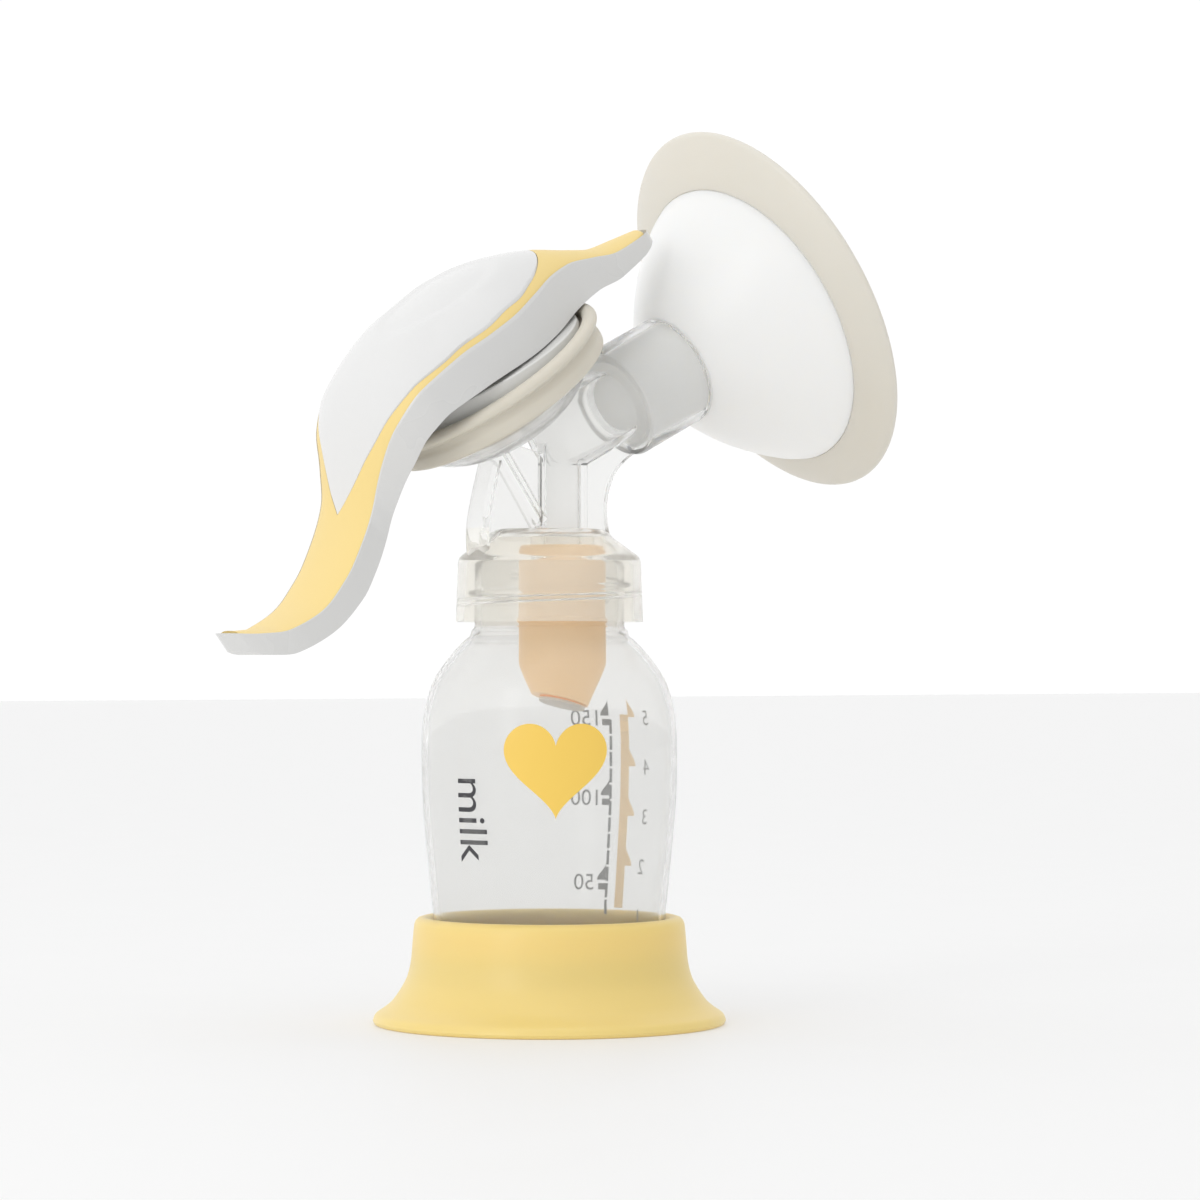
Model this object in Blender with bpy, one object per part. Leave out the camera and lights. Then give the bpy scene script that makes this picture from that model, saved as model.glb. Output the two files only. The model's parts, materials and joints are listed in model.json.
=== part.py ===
"""Manual breast pump: a flared stand, a threaded bottle, a one-piece connector with a duckbill-style
valve, a silicone diaphragm with its stem, a rocking handle and a two-part breast shield.

+Z is up and the stand's foot is on Z = 0, centred on the bottle's axis. The shield points to +X.
Sizes are in millimetres and become metres as each mesh is made.
"""

import math

import bmesh
import bpy
from mathutils import Matrix, Vector

MM = 0.001
GAP = 0.3
LARGE_ROUND = 32
SMALL_ROUND = 20

# Stand.
STAND_HEIGHT = 24.9
STAND_FLARE = 10.5
STAND_WALL = 1.8
STAND_RIM_WIDTH = 3.3
STAND_FLOOR = 8.7

# Bottle.
BOTTLE_HEIGHT = 98.6
BOTTLE_RADIUS = 29.7
BOTTLE_TAPER = 2.7
BOTTLE_WALL = 1.5
NECK_RADIUS = 17.4
NECK_LENGTH = 17.0
SHOULDER_LENGTH = 26.0

# Screw thread between bottle and collar.
THREAD_PITCH = 4.2
THREAD_DEPTH = 1.5
THREAD_CLEARANCE = 0.6
BOTTLE_THREAD_TURNS = 1.25
COLLAR_THREAD_TURNS = 1.0
THREAD_START = 9.6

# Connector. Heights are above the bottle's mouth.
COLLAR_WALL = 1.8
COLLAR_SKIRT = 14.3
DOME_HEIGHT = 7.2
DOME_TOP_RADIUS = 13.0
DUCT_OFFSET = 3.6
DUCT_RADIUS = 5.9
DUCT_BORE = 3.8
NOZZLE_RADIUS = 7.5
NOZZLE_DEPTH = 8.0
WEB_THICKNESS = 1.8
LEG_THICKNESS = 3.0
LEG_WIDTH = 7.0

# Shield axis: its slope, and the point of it that the shield's sizes are measured from.
SHIELD_SLOPE = math.radians(27.3)
SHIELD_POINT = (28.2, 42.1)
SOCKET_RADIUS = 13.4
SOCKET_WALL = 1.5
SOCKET_BACK = -12.3
SOCKET_MOUTH = 7.5
CHAMBER_RADIUS = 9.0
CHAMBER_END = -33.3
CHAMBER_WALL = 1.5
SHIELD_WALL = 1.5
CONE_EDGE_RADIUS = 35.4
CONE_LENGTH = 24.6
RIM_LONG_RADIUS = 47.0
RIM_SHORT_RADIUS = 43.0
RIM_REACH = 6.0
RIM_ROLL = math.radians(-10)

# Diaphragm axis: its tilt, and the centre of the seat.
SEAT_TILT = math.radians(37)
SEAT_POINT = (-13.6, 36.3)
SEAT_RADIUS = 25.4
SEAT_WALL = 1.7
SEAT_RIM_HEIGHT = 4.6
SKIRT_WALL = 2.0
LIP_OVERHANG = 1.9
LAND_HEIGHT = 6.0
STEM_RADIUS = 2.2
STEM_FLANGE_RADIUS = 7.0
PIVOT_HEIGHT = 16.5
CROSS_PIN_RADIUS = 3.6
CROSS_PIN_LENGTH = 12.0
O_RING_SECTION = 0.8
HUB_CLEARANCE = 0.6
HUB_WALL = 1.6

# Valve.
VALVE_WALL = 1.4
VALVE_RADIUS = 10.2
VALVE_LENGTH = 27.2
VALVE_TIP_RADIUS = 5.8
VALVE_TAPER_LENGTH = 10.2
VALVE_SLANT = math.radians(15.7)
FLAP_THICKNESS = 0.8

# Handle. Stations run along the handle from the long end to the short end, from the diaphragm's
# axis; heights are above the seat's centre.
HANDLE_WALL = 1.8
GRIP_THICKNESS = 2.0
GRIP_EDGE_THICKNESS = 0.9
HANDLE_HALF_WIDTH = (
    (-89.5, 5.0), (-87, 7.6), (-78, 11.0), (-66, 11.8), (-54, 12.0), (-47, 12.2), (-41, 14.5),
    (-34, 19.2), (-26, 22.6), (-14, 24.0), (0, 23.0), (12, 19.2), (24, 13.4), (36, 9.2),
    (47, 6.6), (53, 5.0), (55.5, 2.5),
)
HANDLE_EDGE = (
    (-89.5, -0.4), (-85.7, -2.5), (-80, -5.6), (-72, -6.7), (-63, -4.6), (-55.4, -0.9),
    (-47.6, 4.3), (-41.4, 10.8), (-35, 16.8), (-26.4, 20.4), (-15.3, 20.9), (-5, 19.9),
    (5.6, 19.3), (17, 19.4), (27, 18.3), (36.4, 14.7), (43, 11.8), (49, 10.7), (55.5, 9.9),
)
HANDLE_CROWN = (
    (-89.5, 0.2), (-85.7, -1.6), (-80, -4.5), (-72, -5.4), (-63, -3.2), (-55.4, 0.8),
    (-50, 5.0), (-46, 9.4), (-40, 16.4), (-34, 22.4), (-28, 27.0), (-20, 30.6), (-11, 32.4),
    (0, 32.6), (8, 31.6), (17, 28.8), (26, 24.6), (35, 18.6), (42, 14.4), (49, 12.4),
    (55.5, 10.9),
)
HANDLE_UNDERSIDE = (
    (-89.5, -5.0), (-86, -8.2), (-81.4, -10.9), (-71.6, -12.2), (-62.4, -10.7), (-55.5, -7.5),
    (-49.5, -3.6), (-43, 1.8), (-37.4, 6.5), (-30.8, 11.1), (-23.9, 12.7), (-13.7, 12.2),
    (0, 10.6), (11.7, 9.6), (21.9, 9.3), (31.9, 8.4), (41.3, 6.4), (50.1, 6.2), (55.5, 7.0),
)
PANEL_HALF_WIDTH = (
    (-50.5, 0.0), (-47, 4.2), (-42, 9.0), (-35, 15.4), (-27, 20.2), (-16, 22.3), (-6, 21.9),
    (6, 19.6), (14, 16.2), (20, 12.2), (24.5, 7.2), (27, 0.0),
)
CAVITY_STATIONS = (-84.0, 50.0)


# Places that follow from the driving dimensions.
bottle_base = STAND_FLOOR + GAP
mouth = bottle_base + BOTTLE_HEIGHT
pocket_radius = BOTTLE_RADIUS - BOTTLE_TAPER + GAP
stand_rim_radius = pocket_radius + STAND_RIM_WIDTH
collar_bore = NECK_RADIUS + THREAD_DEPTH + THREAD_CLEARANCE
collar_radius = collar_bore + COLLAR_WALL
cone_start = SOCKET_MOUTH + GAP
tube_radius = SOCKET_RADIUS - SOCKET_WALL - GAP
rim_radius = (RIM_LONG_RADIUS + RIM_SHORT_RADIUS) / 2
skirt_bore = SEAT_RADIUS + GAP
land_bore = SEAT_RADIUS - SEAT_WALL - 0.7
hub_radius = skirt_bore + 0.2 - HUB_CLEARANCE

connector_place = Matrix.Translation(Vector((0, 0, mouth)) * MM)
seat_place = Matrix.Translation(Vector((SEAT_POINT[0], 0, mouth + SEAT_POINT[1])) * MM)
seat_place = seat_place @ Matrix.Rotation(-SEAT_TILT, 4, "Y")
pivot_place = seat_place @ Matrix.Translation(Vector((0, 0, PIVOT_HEIGHT)) * MM)
shield_place = Matrix.Translation(Vector((SHIELD_POINT[0], 0, mouth + SHIELD_POINT[1])) * MM)
shield_place = shield_place @ Matrix.Rotation(math.radians(90) - SHIELD_SLOPE, 4, "Y")
valve_place = connector_place @ Matrix.Translation(Vector((DUCT_OFFSET, 0, 0)) * MM)


# Tools that make meshes.

def clear_scene():
    for found in list(bpy.data.objects):
        bpy.data.objects.remove(found, do_unlink=True)


def plastic(name, color, roughness):
    material = bpy.data.materials.new(name)
    material.use_nodes = True
    shader = material.node_tree.nodes["Principled BSDF"]
    shader.inputs["Base Color"].default_value = (*color, 1.0)
    shader.inputs["Roughness"].default_value = roughness
    shader.inputs["Metallic"].default_value = 0.0
    return material


def as_object(name, shape, place, material=None, smooth=40):
    """A mesh object from a bmesh in millimetres, standing in the frame of place."""
    bmesh.ops.remove_doubles(shape, verts=shape.verts, dist=0.0005)
    bmesh.ops.recalc_face_normals(shape, faces=shape.faces)
    bmesh.ops.scale(shape, vec=(MM, MM, MM), verts=shape.verts)
    mesh = bpy.data.meshes.new(name)
    shape.to_mesh(mesh)
    shape.free()
    mesh.shade_smooth()
    mesh.set_sharp_from_angle(angle=math.radians(smooth))
    made = bpy.data.objects.new(name, mesh)
    bpy.context.scene.collection.objects.link(made)
    made.matrix_world = place
    if material:
        mesh.materials.append(material)
    return made


def turned(outline, steps=LARGE_ROUND, closed=True):
    """The outline (radius, height) spun round the Z axis. A closed outline is a ring's section."""
    shape = bmesh.new()
    points = [shape.verts.new((radius, 0, height)) for radius, height in outline]
    pairs = list(zip(points, points[1:]))
    if closed:
        pairs.append((points[-1], points[0]))
    edges = [shape.edges.new(pair) for pair in pairs]
    bmesh.ops.spin(
        shape, geom=points + edges, axis=(0, 0, 1), cent=(0, 0, 0),
        angle=math.tau, steps=steps, use_merge=True,
    )
    return shape


def cylinder(radius, bottom, top, steps=SMALL_ROUND):
    return turned(((0, bottom), (radius, bottom), (radius, top), (0, top)), steps, closed=False)


def moved(shape, x=0.0, y=0.0, z=0.0):
    bmesh.ops.translate(shape, vec=(x, y, z), verts=shape.verts)
    return shape


def plate(outline, thickness):
    """A flat plate in the XZ plane, centred on Y = 0."""
    shape = bmesh.new()
    points = [shape.verts.new((x, -thickness / 2, z)) for x, z in outline]
    face = shape.faces.new(points)
    grown = bmesh.ops.extrude_face_region(shape, geom=[face])["geom"]
    raised = [item for item in grown if isinstance(item, bmesh.types.BMVert)]
    bmesh.ops.translate(shape, vec=(0, thickness, 0), verts=raised)
    return shape


def box(low, high):
    shape = bmesh.new()
    bmesh.ops.create_cube(shape, size=1.0)
    size = [b - a for a, b in zip(low, high)]
    bmesh.ops.scale(shape, vec=size, verts=shape.verts)
    return moved(shape, *[(a + b) / 2 for a, b in zip(low, high)])


def swept(sections):
    """A solid through rings of points, each ring with the same number of points."""
    shape = bmesh.new()
    rings = [[shape.verts.new(point) for point in section] for section in sections]
    for ring, following in zip(rings, rings[1:]):
        for k in range(len(ring)):
            near = (k + 1) % len(ring)
            shape.faces.new((ring[k], ring[near], following[near], following[k]))
    shape.faces.new(rings[0])
    shape.faces.new(rings[-1][::-1])
    return shape


def thread_ridge(wall_radius, outward, turns, start, steps_per_turn=24):
    """A helical ridge on a wall, rising with the angle, that fades out at both ends."""
    root_width, crest_width, root_depth = 1.6, 0.8, 0.5
    fade = 0.08
    steps = round(steps_per_turn * turns)
    sections = []
    for k in range(steps + 1):
        part = k / steps
        angle = math.tau * turns * part
        middle = start + THREAD_PITCH * turns * part
        rise = min(1.0, part * turns / fade, (1 - part) * turns / fade)
        height = -0.2 + (THREAD_DEPTH + 0.2) * rise
        root = wall_radius - outward * root_depth
        crest = wall_radius + outward * height
        ring = ((root, -root_width / 2), (crest, -crest_width / 2),
                (crest, crest_width / 2), (root, root_width / 2))
        sections.append([
            (radius * math.cos(angle), radius * math.sin(angle), middle + offset)
            for radius, offset in ring
        ])
    return swept(sections)


def helper(name, shape, place):
    made = as_object(name, shape, place)
    made.hide_render = True
    made.display_type = "WIRE"
    return made


def combine(target, operation, name, shape, place):
    """Adds a Boolean of a hidden helper to the target."""
    modifier = target.modifiers.new(name, "BOOLEAN")
    modifier.operation = operation
    modifier.solver = "EXACT"
    modifier.object = helper(name, shape, place)


def curve_through(stations):
    """A smooth value along the stations, with no overshoot between two of them."""
    places = [place for place, _ in stations]
    values = [value for _, value in stations]
    steps = [b - a for a, b in zip(places, places[1:])]
    slopes = [(b - a) / step for a, b, step in zip(values, values[1:], steps)]
    tangents = [slopes[0]]
    for before, after in zip(slopes, slopes[1:]):
        level = before * after <= 0
        tangents.append(0.0 if level else 2 * before * after / (before + after))
    tangents.append(slopes[-1])

    def value_at(place):
        place = min(max(place, places[0]), places[-1])
        k = max(i for i in range(len(steps)) if places[i] <= place)
        step = steps[k]
        t = (place - places[k]) / step
        return (
            (1 + 2 * t) * (1 - t) ** 2 * values[k] + t * (1 - t) ** 2 * step * tangents[k]
            + t * t * (3 - 2 * t) * values[k + 1] - t * t * (1 - t) * step * tangents[k + 1]
        )

    return value_at


# Stand and bottle.

def bottle_stand(material):
    inner_wall = pocket_radius + STAND_WALL
    foot = stand_rim_radius + STAND_FLARE
    flare = [
        (stand_rim_radius + STAND_FLARE * share, STAND_HEIGHT * height)
        for share, height in (
            (0.08, 0.9), (0.13, 0.7), (0.23, 0.5), (0.40, 0.335), (0.62, 0.215), (0.86, 0.115),
        )
    ]
    inside = [(radius - STAND_WALL, height - 0.4) for radius, height in reversed(flare[2:])]
    outline = [
        (0, STAND_FLOOR), (pocket_radius - 1.0, STAND_FLOOR), (pocket_radius, STAND_FLOOR + 1.0),
        (pocket_radius, STAND_HEIGHT - 1.2), (pocket_radius + 0.8, STAND_HEIGHT - 0.1),
        (stand_rim_radius - 0.9, STAND_HEIGHT),
        (stand_rim_radius, STAND_HEIGHT - 0.7),
        *flare, (foot, 1.2), (foot - 0.6, 0), (foot - 2.2, 0), *inside,
        (inner_wall + 0.2, STAND_HEIGHT * 0.56), (inner_wall, STAND_FLOOR - STAND_WALL),
        (0, STAND_FLOOR - STAND_WALL),
    ]
    return as_object("bottle_stand", turned(outline, closed=False), Matrix(), material)


def bottle(material):
    low_radius = BOTTLE_RADIUS - BOTTLE_TAPER
    shoulder_top = BOTTLE_HEIGHT - NECK_LENGTH
    shoulder_low = shoulder_top - SHOULDER_LENGTH
    outer = [(0, 1.6), (low_radius * 0.62, 1.0), (low_radius * 0.72, 0), (low_radius - 2.4, 0.2),
             (low_radius, 2.8), (low_radius, 17.5)]
    side = shoulder_low - 17.5
    outer += [(low_radius + BOTTLE_TAPER * share, 17.5 + side * height)
              for share, height in ((0.32, 0.25), (0.72, 0.55), (0.96, 0.8))]
    outer.append((BOTTLE_RADIUS, shoulder_low))
    drop = BOTTLE_RADIUS - NECK_RADIUS
    outer += [(BOTTLE_RADIUS - drop * share, shoulder_low + SHOULDER_LENGTH * height)
              for share, height in ((0.03, 0.25), (0.12, 0.45), (0.31, 0.66), (0.52, 0.82),
                                    (0.80, 0.94))]
    inner = [(max(radius - BOTTLE_WALL, 0), height + (BOTTLE_WALL if height < 4 else 0))
             for radius, height in outer]
    neck = [(NECK_RADIUS + 0.9, shoulder_top + 0.6), (NECK_RADIUS, shoulder_top + 1.6),
            (NECK_RADIUS, BOTTLE_HEIGHT - 0.8), (NECK_RADIUS - 0.6, BOTTLE_HEIGHT)]
    bore = [(NECK_RADIUS - BOTTLE_WALL, BOTTLE_HEIGHT),
            (NECK_RADIUS - BOTTLE_WALL, shoulder_top + 1.0)]
    outline = outer + neck + bore + inner[::-1]
    place = Matrix.Translation(Vector((0, 0, bottle_base)) * MM)
    made = as_object("bottle", turned(outline, closed=False), place, material)
    ridge = thread_ridge(NECK_RADIUS, 1, BOTTLE_THREAD_TURNS, -THREAD_START)
    combine(made, "UNION", "bottle_thread", ridge, connector_place)
    return made


# Connector.

def collar_outline(inset):
    """Half the section of the collar and its dome, moved inwards by inset."""
    lowest = -COLLAR_SKIRT - (1.0 if inset else 0.0)
    flare = 0.5
    top = DOME_HEIGHT - inset
    slope = collar_radius - DOME_TOP_RADIUS
    return (
        (0, lowest), (collar_radius + flare - inset, lowest),
        (collar_radius - inset, -0.9 - inset * 0.4),
        (collar_radius - 0.8 - inset, 0.9 - inset * 0.6),
        (DOME_TOP_RADIUS + slope * 0.2 - inset * 0.8, top - 1.9),
        (DOME_TOP_RADIUS - inset * 0.6, top),
        (0, top),
    )


def seat_outline(inset):
    """Half the section of the diaphragm's seat: a shallow dish that opens upwards."""
    top = SEAT_RIM_HEIGHT + (1.0 if inset else 0.0)
    depth = SEAT_RADIUS * 0.37
    return (
        (0, inset - depth), (SEAT_RADIUS * 0.35, inset - depth * 0.95),
        (SEAT_RADIUS * 0.63 - inset * 0.3, inset - depth * 0.70),
        (SEAT_RADIUS * 0.9 - inset * 0.6, inset - depth * 0.17),
        (SEAT_RADIUS - inset, inset + 0.3), (SEAT_RADIUS - inset, top), (0, top),
    )


def leg_sections():
    stations = ((-18.6, -1.4), (-19.4, 2.0), (-19.4, 8.0), (-18.4, 14.0), (-17.0, 19.5), (-15.6, 24.6))
    half = LEG_WIDTH / 2
    deep = LEG_THICKNESS / 2
    return [
        [(x - deep, -half, z), (x + deep, -half, z), (x + deep, half, z), (x - deep, half, z)]
        for x, z in stations
    ]


def connector_body(material):
    bore = SOCKET_RADIUS - SOCKET_WALL
    chamber_bore = CHAMBER_RADIUS - CHAMBER_WALL
    solids = {
        "duct": (moved(cylinder(DUCT_RADIUS, DOME_HEIGHT - 1, 27.0), DUCT_OFFSET), connector_place),
        "leg": (swept(leg_sections()), connector_place),
        "web": (plate(((-18.8, 2.0), (-2.0, 6.4), (-1.6, 24.6), (-9.0, 26.4), (-15.2, 24.4),
                       (-17.0, 17.0)), WEB_THICKNESS), connector_place),
        "diagonal_rib": (moved(plate(((-15.4, 23.6), (-12.6, 24.6), (-2.2, 9.4), (-4.6, 6.0)),
                                     WEB_THICKNESS * 2.4), 0.4, 0, 0.2), connector_place),
        "fin": (plate(((7.0, 6.0), (16.9, 4.4), (15.8, 8.2), (15.6, 12.0), (16.2, 16.8),
                       (17.7, 20.1), (20.4, 23.0), (24.4, 25.9), (22.0, 31.0), (7.2, 31.2)),
                      WEB_THICKNESS), connector_place),
        "seat": (turned(seat_outline(0), closed=False), seat_place),
        "socket": (turned((
            (0, CHAMBER_END), (CHAMBER_RADIUS - 2.6, CHAMBER_END),
            (CHAMBER_RADIUS, CHAMBER_END + 2.6), (CHAMBER_RADIUS, SOCKET_BACK - 0.8),
            (SOCKET_RADIUS - 0.9, SOCKET_BACK), (SOCKET_RADIUS, SOCKET_BACK + 0.9),
            (SOCKET_RADIUS, SOCKET_MOUTH), (0, SOCKET_MOUTH)), closed=False), shield_place),
    }
    hollows = {
        "collar_hollow": (turned(collar_outline(COLLAR_WALL), closed=False), connector_place),
        "seat_hollow": (turned(seat_outline(SEAT_WALL), closed=False), seat_place),
        "socket_hollow": (turned((
            (0, CHAMBER_END + CHAMBER_WALL), (chamber_bore - 1.6, CHAMBER_END + CHAMBER_WALL),
            (chamber_bore, CHAMBER_END + CHAMBER_WALL + 1.6),
            (chamber_bore, SOCKET_BACK + CHAMBER_WALL), (bore, SOCKET_BACK + CHAMBER_WALL),
            (bore, SOCKET_MOUTH + 1), (0, SOCKET_MOUTH + 1)), closed=False), shield_place),
    }
    nozzle = moved(cylinder(NOZZLE_RADIUS, -NOZZLE_DEPTH, DOME_HEIGHT - 0.9), DUCT_OFFSET)
    duct_bore = moved(cylinder(DUCT_BORE, -NOZZLE_DEPTH - 1, 28.0, 16), DUCT_OFFSET)
    start = -THREAD_START - THREAD_PITCH / 2
    ridge = thread_ridge(collar_bore, -1, COLLAR_THREAD_TURNS, start)
    made = as_object("connector_body", turned(collar_outline(0), closed=False), connector_place,
                     material)
    for name, (shape, place) in solids.items():
        combine(made, "UNION", name, shape, place)
    for name, (shape, place) in hollows.items():
        combine(made, "DIFFERENCE", name, shape, place)
    combine(made, "UNION", "nozzle", nozzle, connector_place)
    combine(made, "UNION", "collar_thread", ridge, connector_place)
    combine(made, "DIFFERENCE", "duct_bore", duct_bore, connector_place)
    return made


# Valve.

def valve_head(material):
    bore = NOZZLE_RADIUS + GAP
    top = DOME_HEIGHT - COLLAR_WALL - 2.5
    bottom = top - VALVE_LENGTH
    tip = bottom - VALVE_TAPER_LENGTH
    inside = VALVE_RADIUS - VALVE_WALL
    outline = (
        (0, tip), (VALVE_TIP_RADIUS, tip), (VALVE_RADIUS, bottom), (VALVE_RADIUS, top - 0.6),
        (VALVE_RADIUS - 0.6, top), (bore, top), (bore, -NOZZLE_DEPTH - GAP),
        (inside, -NOZZLE_DEPTH - GAP - 1), (inside, bottom + 0.4),
        (VALVE_TIP_RADIUS - VALVE_WALL, tip + 1.0), (0, tip + 1.0),
    )
    made = as_object("valve_head", turned(outline, 24, closed=False), valve_place, material)
    slant = valve_place @ Matrix.Translation(Vector((0, 0, tip + 1.8)) * MM)
    slant = slant @ Matrix.Rotation(VALVE_SLANT, 4, "Y")
    combine(made, "DIFFERENCE", "valve_slant", box((-20, -20, -20), (20, 20, 0)), slant)
    return made, slant


def valve_membrane(material, slant):
    radius = VALVE_TIP_RADIUS - 0.2
    place = slant @ Matrix.Translation(Vector((-radius, 0, -GAP)) * MM)
    disc = moved(cylinder(radius, -FLAP_THICKNESS, 0), radius)
    return as_object("valve_membrane", disc, place, material)


# Diaphragm and stem. Heights are above the centre of the seat.

def diaphragm_rim(material):
    under = SEAT_RIM_HEIGHT + GAP
    out = skirt_bore + SKIRT_WALL
    outline = (
        (skirt_bore, 0), (out - 0.3, 0), (out + 0.3, 1.2), (out + 0.4, 2.8), (out - 0.1, 4.6),
        (out + LIP_OVERHANG - 0.5, 5.4), (out + LIP_OVERHANG, 6.6), (out + LIP_OVERHANG - 0.6, 8.0),
        (out + 0.1, 8.4), (skirt_bore + 0.8, 7.6), (skirt_bore + 0.3, LAND_HEIGHT),
        (land_bore, LAND_HEIGHT), (land_bore, under), (skirt_bore, under),
    )
    return as_object("diaphragm_rim", turned(outline), seat_place, material)


def diaphragm_membrane(material):
    edge = land_bore - GAP
    boss = STEM_RADIUS + GAP + 2 * O_RING_SECTION + GAP
    floor = -2.9
    outline = (
        (boss, floor), (STEM_FLANGE_RADIUS + 0.5, floor), (edge * 0.44, floor - 1.9),
        (edge * 0.63, floor - 1.1), (edge * 0.86, floor + 2.4), (edge * 0.985, floor + 5.0),
        (edge, LAND_HEIGHT), (edge - 1.0, LAND_HEIGHT), (edge * 0.94, floor + 5.4),
        (edge * 0.82, floor + 3.2), (edge * 0.61, floor + 0.0), (edge * 0.45, floor - 0.8),
        (STEM_FLANGE_RADIUS + 0.5, floor + 1.4), (boss, floor + 1.4),
    )
    return as_object("diaphragm_membrane", turned(outline), seat_place, material)


def diaphragm_stem(material):
    flange_top = -2.9 - GAP
    outline = (
        (0, flange_top - 1.8), (STEM_FLANGE_RADIUS - 0.6, flange_top - 1.8),
        (STEM_FLANGE_RADIUS, flange_top - 1.2), (STEM_FLANGE_RADIUS, flange_top),
        (STEM_RADIUS, flange_top), (STEM_RADIUS, PIVOT_HEIGHT), (0, PIVOT_HEIGHT),
    )
    made = as_object("diaphragm_stem", turned(outline, closed=False), seat_place, material)
    half = CROSS_PIN_LENGTH / 2
    pin = cylinder(CROSS_PIN_RADIUS, -half, half)
    bmesh.ops.rotate(pin, matrix=Matrix.Rotation(math.radians(90), 3, "X"), verts=pin.verts)
    combine(made, "UNION", "cross_pin", pin, pivot_place)
    return made


def stem_o_ring(material):
    middle = STEM_RADIUS + GAP + O_RING_SECTION
    height = -2.9 + O_RING_SECTION
    section = [
        (middle + O_RING_SECTION * math.cos(angle), height + O_RING_SECTION * math.sin(angle))
        for angle in (math.tau * k / 8 for k in range(8))
    ]
    return as_object("stem_o_ring", turned(section, SMALL_ROUND), seat_place, material)


# Handle. Its pieces are modelled from the seat's centre and stand at the stem's cross pin.

half_width = curve_through(HANDLE_HALF_WIDTH)
edge_height = curve_through(HANDLE_EDGE)
crown_height = curve_through(HANDLE_CROWN)
underside = curve_through(HANDLE_UNDERSIDE)
panel_half_width = curve_through(PANEL_HALF_WIDTH)


def handle_top(station, across):
    """Height of the handle's outer skin, across running from -1 to 1."""
    edge = edge_height(station)
    return edge + (crown_height(station) - edge) * (1 - abs(across) ** 2.2) ** 0.8


def layer_depth(across):
    return GRIP_EDGE_THICKNESS + (GRIP_THICKNESS - GRIP_EDGE_THICKNESS) * (1 - abs(across) ** 4)


def height_solid(first, last, inset, top, bottom, count=30, columns=10):
    """A solid between two height functions over the handle's outline, drawn in by inset."""
    sections = []
    for k in range(count + 1):
        station = first + (last - first) * k / count
        width = max(half_width(station) - inset, 0.5)
        lanes = [math.sin(math.pi / 2 * (2 * j / columns - 1)) for j in range(columns + 1)]
        above = [(station, width * lane, top(station, lane)) for lane in lanes]
        below = [(station, width * lane, bottom(station, lane)) for lane in reversed(lanes)]
        sections.append(above + below)
    return moved(swept(sections), z=-PIVOT_HEIGHT)


def handle_layer():
    """The skin over the shell, which the grip and the top panel share."""
    ends = (HANDLE_EDGE[0][0], HANDLE_EDGE[-1][0])
    return height_solid(*ends, 0, handle_top, lambda s, a: handle_top(s, a) - layer_depth(a))


def panel_prism(grow):
    first, last = PANEL_HALF_WIDTH[0][0], PANEL_HALF_WIDTH[-1][0]
    count = 16
    middle, reach = (first + last) / 2, (last - first) / 2
    near = []
    for k in range(count + 1):
        across = -math.cos(math.pi * k / count)
        near.append((middle + (reach + grow) * across,
                     -panel_half_width(middle + reach * across) - grow * (1 - across ** 2) ** 0.5))
    outline = near + [(x, -y) for x, y in reversed(near[1:-1])]
    return swept([[(x, y, z) for x, y in outline] for z in (-20.0, 40.0)])


def handle_shell(material):
    ends = (HANDLE_EDGE[0][0], HANDLE_EDGE[-1][0])
    deck = height_solid(
        *ends, 0, lambda s, a: handle_top(s, a) - layer_depth(a) - GAP, lambda s, a: underside(s))
    made = as_object("handle_shell", deck, pivot_place, material)
    cavity = height_solid(
        *CAVITY_STATIONS, HANDLE_WALL,
        lambda s, a: handle_top(s, a * 0.94) - layer_depth(a) - GAP - HANDLE_WALL,
        lambda s, a: underside(s) - 12)
    combine(made, "DIFFERENCE", "handle_cavity", cavity, pivot_place)
    return made


def handle_soft_grip(material):
    made = as_object("handle_soft_grip", handle_layer(), pivot_place, material)
    combine(made, "DIFFERENCE", "panel_opening", panel_prism(GAP), pivot_place)
    return made


def handle_top_panel(material):
    made = as_object("handle_top_panel", handle_layer(), pivot_place, material)
    combine(made, "INTERSECT", "panel_outline", panel_prism(0), pivot_place)
    return made


def handle_hub(material):
    """The round underside that rocks on the diaphragm's land, and the clip for the cross pin."""
    bottom = LAND_HEIGHT + 0.8
    drum_top = 10.0
    inner = hub_radius * 0.7
    ring_top = PIVOT_HEIGHT + 3.5
    outline = (
        (hub_radius - HUB_WALL, bottom), (hub_radius, bottom), (hub_radius, drum_top),
        (inner, drum_top), (inner, ring_top), (inner - HUB_WALL, ring_top),
        (inner - HUB_WALL, drum_top - HUB_WALL), (hub_radius - HUB_WALL, drum_top - HUB_WALL),
    )
    shape = turned(outline)
    for point in shape.verts:
        if abs(point.co.z - drum_top) < HUB_WALL + 0.01:
            point.co.z -= 0.078 * point.co.x
    made = as_object("handle_hub", moved(shape, z=-PIVOT_HEIGHT), pivot_place, material)
    half = CROSS_PIN_RADIUS + GAP + 2.4
    reach = inner - HUB_WALL * 0.5
    bar = box((-half, -reach, -4.2), (half, reach, 3.4))
    pin = cylinder(CROSS_PIN_RADIUS + GAP, -CROSS_PIN_LENGTH / 2 - GAP, CROSS_PIN_LENGTH / 2 + GAP)
    bmesh.ops.rotate(pin, matrix=Matrix.Rotation(math.radians(90), 3, "X"), verts=pin.verts)
    slot = box((-4.0, -STEM_RADIUS - GAP, -10), (4.0, STEM_RADIUS + GAP, 0))
    combine(made, "UNION", "clip_bar", bar, pivot_place)
    combine(made, "DIFFERENCE", "pin_hole", pin, pivot_place)
    combine(made, "DIFFERENCE", "stem_slot", slot, pivot_place)
    return made


# Shield. Heights run along its axis.

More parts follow.
